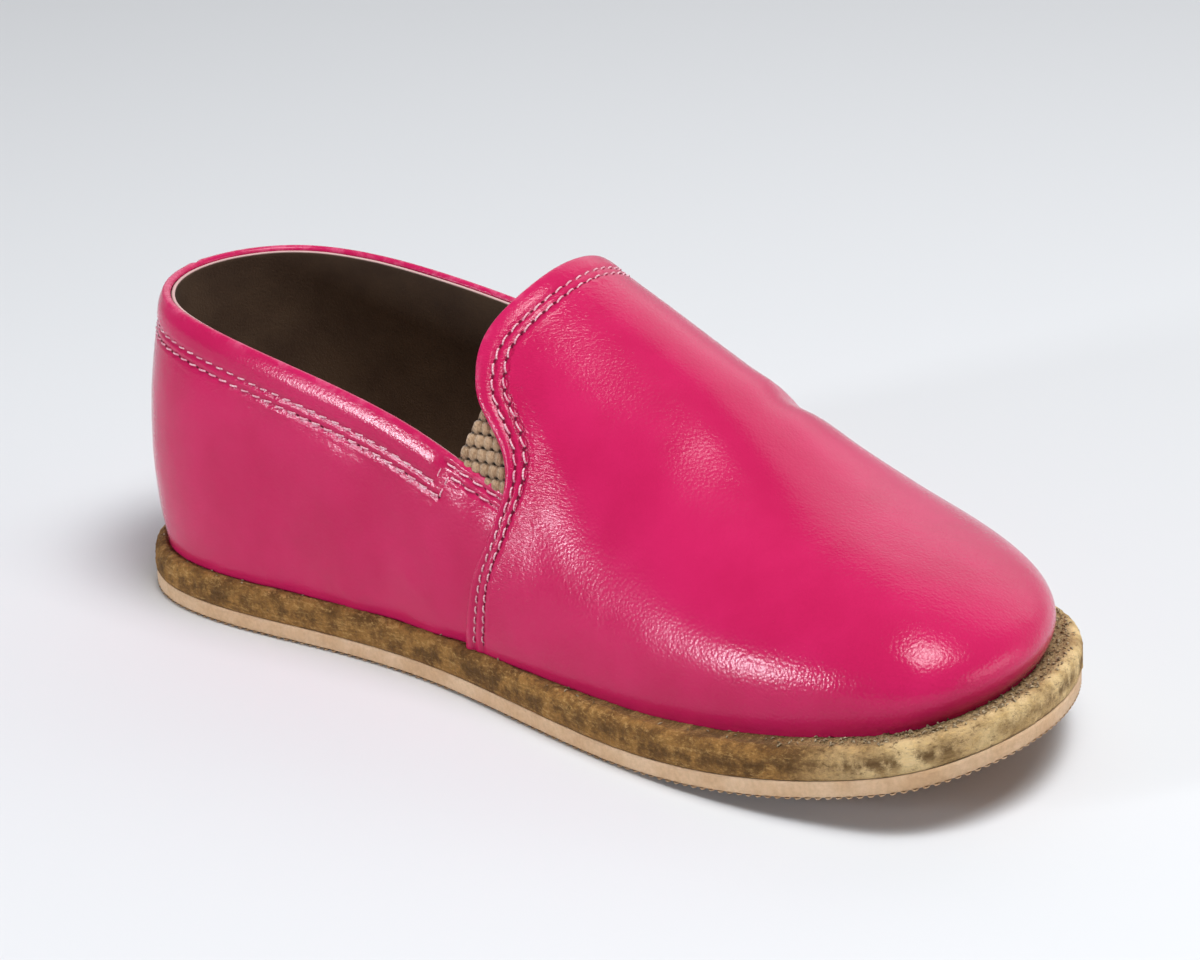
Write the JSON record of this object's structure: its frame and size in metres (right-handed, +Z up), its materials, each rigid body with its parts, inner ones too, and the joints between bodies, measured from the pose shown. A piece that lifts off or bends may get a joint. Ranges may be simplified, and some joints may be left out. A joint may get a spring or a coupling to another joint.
{
  "type": "children's slip-on shoe",
  "caption": "Left slip-on shoe for a child: leather vamp and quarters, an elastic gore each side of the tongue, leather midsole and a thin rubber outsole with toe spring.",
  "frame": {"origin": "centre of the bottom of the shoe's box, on the ground under the sole", "axes": "toe towards -Y, heel towards +Y, inner side of the foot towards -X, +Z up"},
  "size_m": [0.0764, 0.17, 0.0611],
  "materials": {
    "outsole_rubber": "satin natural rubber, dotted underneath",
    "midsole_leather": "raw brushed edge, fuzzy and patchy",
    "insole_leather": "matt lining leather",
    "upper_leather": "smooth semi-gloss pink with fine grain",
    "gore_elastic": "coarse woven elastic"
  },
  "bodies": {
    "root": {"outsole": "outsole_rubber", "midsole": "midsole_leather", "insole": "insole_leather", "upper": "upper_leather", "gore_medial": "gore_elastic", "gore_lateral": "gore_elastic"}
  },
  "joints": []
}
